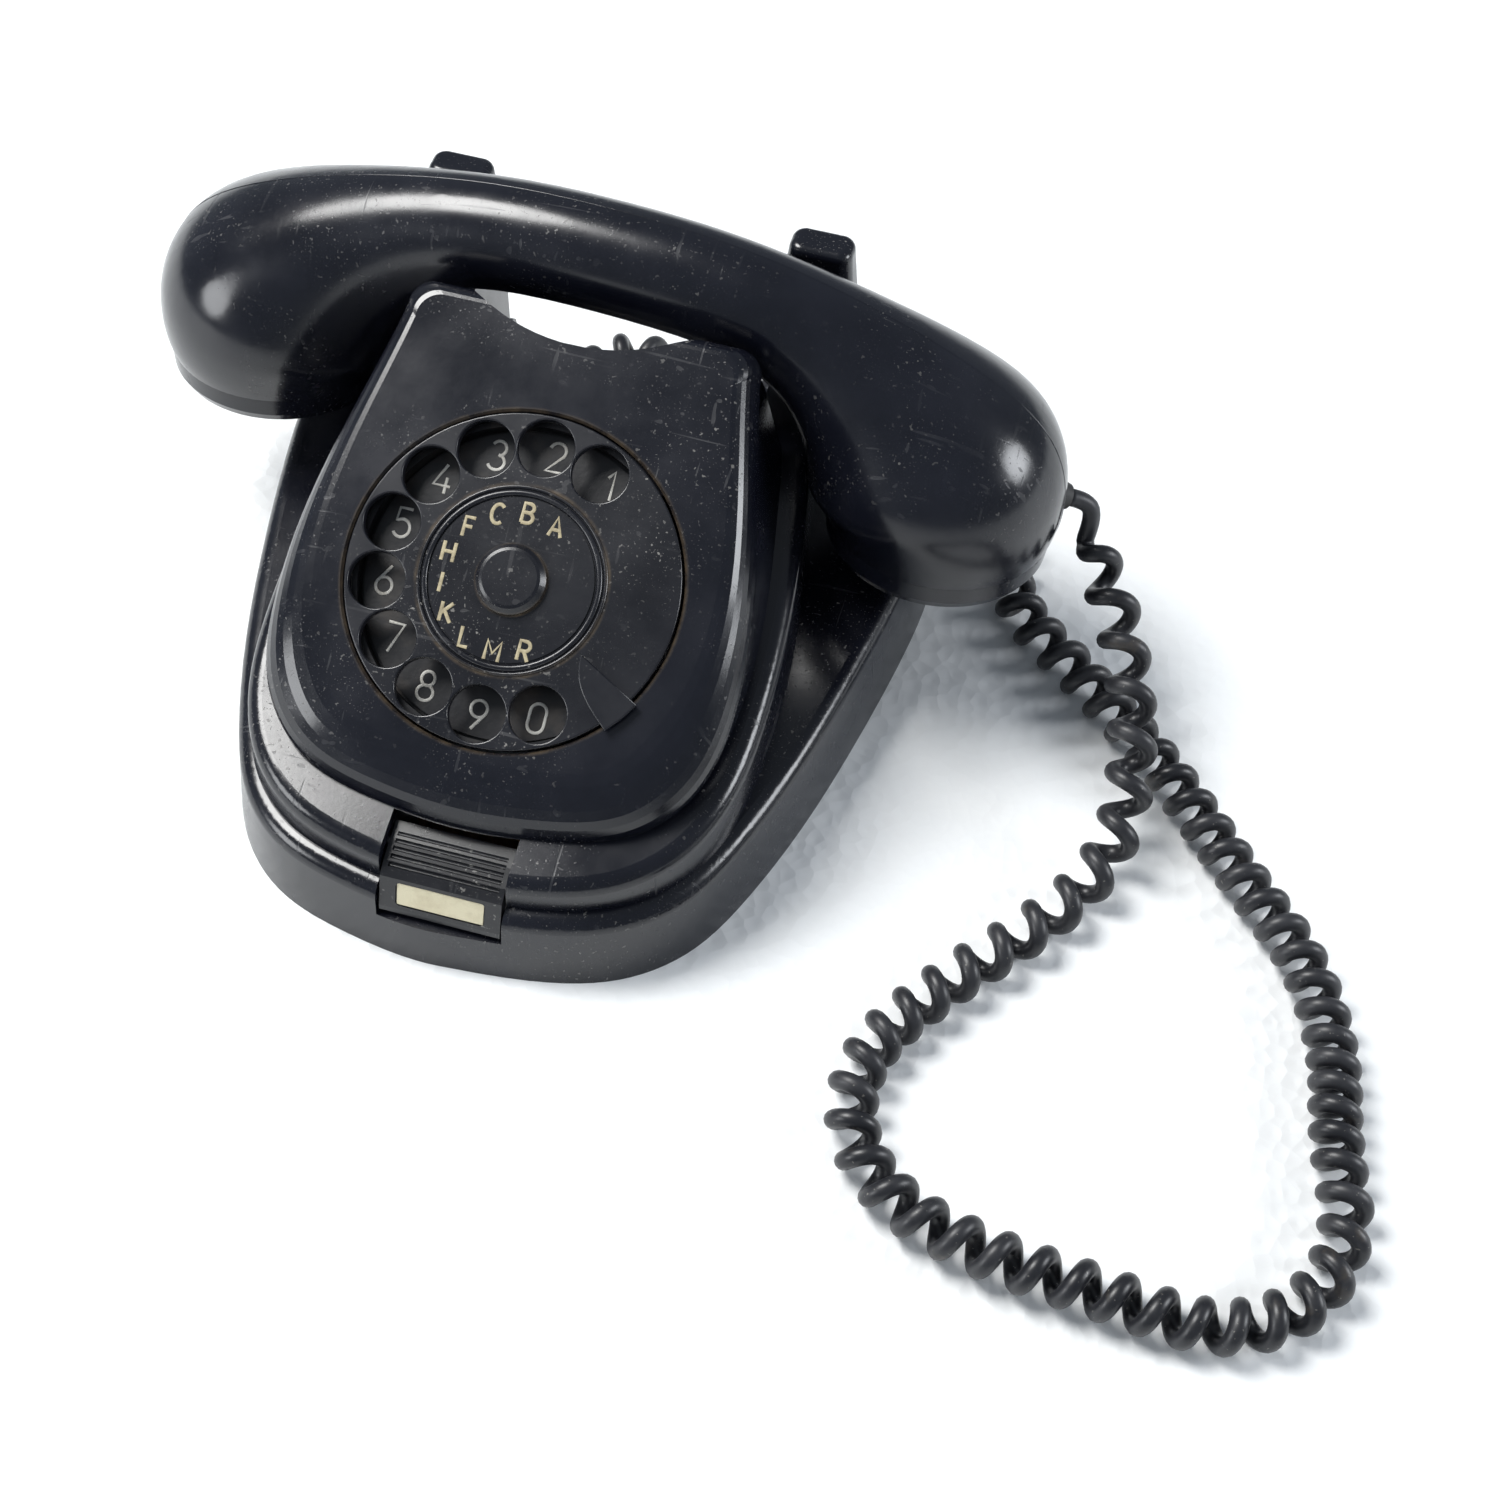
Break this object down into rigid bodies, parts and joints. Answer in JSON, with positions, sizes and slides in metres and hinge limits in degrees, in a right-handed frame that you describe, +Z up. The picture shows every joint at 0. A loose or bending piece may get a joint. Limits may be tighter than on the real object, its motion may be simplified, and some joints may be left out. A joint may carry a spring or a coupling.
{
  "type": "rotary telephone",
  "caption": "Black moulded desk telephone with an inclined rotary dial, a handset lying in its rear cradle, a small front key flap and a curly handset cord.",
  "frame": {"origin": "middle of the telephone's footprint on the table, measured without the curly cord", "axes": "+X to the user's right along the handset, +Y to the back, +Z up"},
  "size_m": [0.3302, 0.2507, 0.108],
  "materials": {
    "bakelite": "polished black phenolic with light wear",
    "number_enamel": "black enamel",
    "label_card": "aged cream card",
    "zinc_steel": "zinc plated",
    "bright_steel": "bright",
    "gear_brass": "machined",
    "gong_metal": "satin nickel over steel",
    "soft_rubber": "matt",
    "cord_jacket": "satin vinyl",
    "coil_wrap": "waxed tape",
    "insulator": "pressed board",
    "capsule_aluminium": "satin"
  },
  "bodies": {
    "housing": {"base_plate": "zinc_steel", "base_screws": "bright_steel", "capacitor": "insulator", "casing": "bakelite", "clapper_pin": "bright_steel", "cord_gland": "soft_rubber", "cord_lead_base": "cord_jacket", "cord_lead_handset": "cord_jacket", "curly_cord": "cord_jacket", "dial_frame": "number_enamel", "dial_ring": "number_enamel", "finger_stop": "bakelite", "gong_left": "gong_metal", "gong_posts": "bright_steel", "gong_right": "gong_metal", "governor_cup": "gear_brass", "hook_contacts": "insulator", "induction_coil": "coil_wrap", "key_bracket": "zinc_steel", "key_pin": "bright_steel", "key_spring": "bright_steel", "line_gland": "soft_rubber", "mainspring": "bright_steel", "number_plate": "number_enamel", "pulse_contacts": "insulator", "ringer_coils": "coil_wrap", "rubber_feet": "soft_rubber", "terminal_block": "insulator"},
    "dial": {"finger_wheel": "bakelite", "letter_disc": "bakelite", "bead_ring": "bakelite", "hub_cap": "bakelite", "dial_shaft": "bright_steel", "drive_gear": "gear_brass"},
    "governor": {"governor": "gear_brass"},
    "key": {"key_flap": "bakelite", "key_label_card": "label_card"},
    "cradle": {"prong_left": "bakelite", "prong_right": "bakelite", "fork_yoke": "zinc_steel"},
    "striker": {"clapper": "bright_steel"},
    "handset": {"handset_handle": "bakelite", "ear_cap": "bakelite", "mouth_cap": "bakelite", "receiver_capsule": "capsule_aluminium", "transmitter_capsule": "capsule_aluminium", "handset_grommet": "soft_rubber"}
  },
  "joints": [
    {"name": "dial_turn", "type": "hinge", "parent": "housing", "child": "dial", "pos_m": [0, -0.0285, 0.067], "axis": [0, 0.5075, -0.8616], "range_deg": [0, 316], "stiffness_Nm_per_rad": 0.002, "springref_deg": -34.38},
    {"name": "governor_spin", "type": "hinge", "parent": "housing", "child": "governor", "pos_m": [0.018, -0.0285, 0.067], "axis": [0, 0.5075, -0.8616], "range_deg": [-1600, 0]},
    {"name": "front_key", "type": "hinge", "parent": "housing", "child": "key", "pos_m": [0, -0.0745, 0.0226], "axis": [1, 0, 0], "range_deg": [0, 5], "stiffness_Nm_per_rad": 0.15, "springref_deg": -3.44},
    {"name": "cradle_press", "type": "slide", "parent": "housing", "child": "cradle", "axis": [0, 0, 1], "range_m": [0, 0.004], "stiffness_N_per_m": 60, "springref_m": 0.004},
    {"name": "striker_swing", "type": "hinge", "parent": "housing", "child": "striker", "pos_m": [0, 0.028, 0.0041], "axis": [0, 0, 1], "range_deg": [-5, 5]},
    {"name": "handset_lift", "type": "slide", "parent": "housing", "child": "handset", "axis": [0, 0, 1], "range_m": [0, 0.12]}
  ],
  "couplings": [
    {"joint": "governor_spin", "follows": "dial_turn", "ratio": -5}
  ]
}
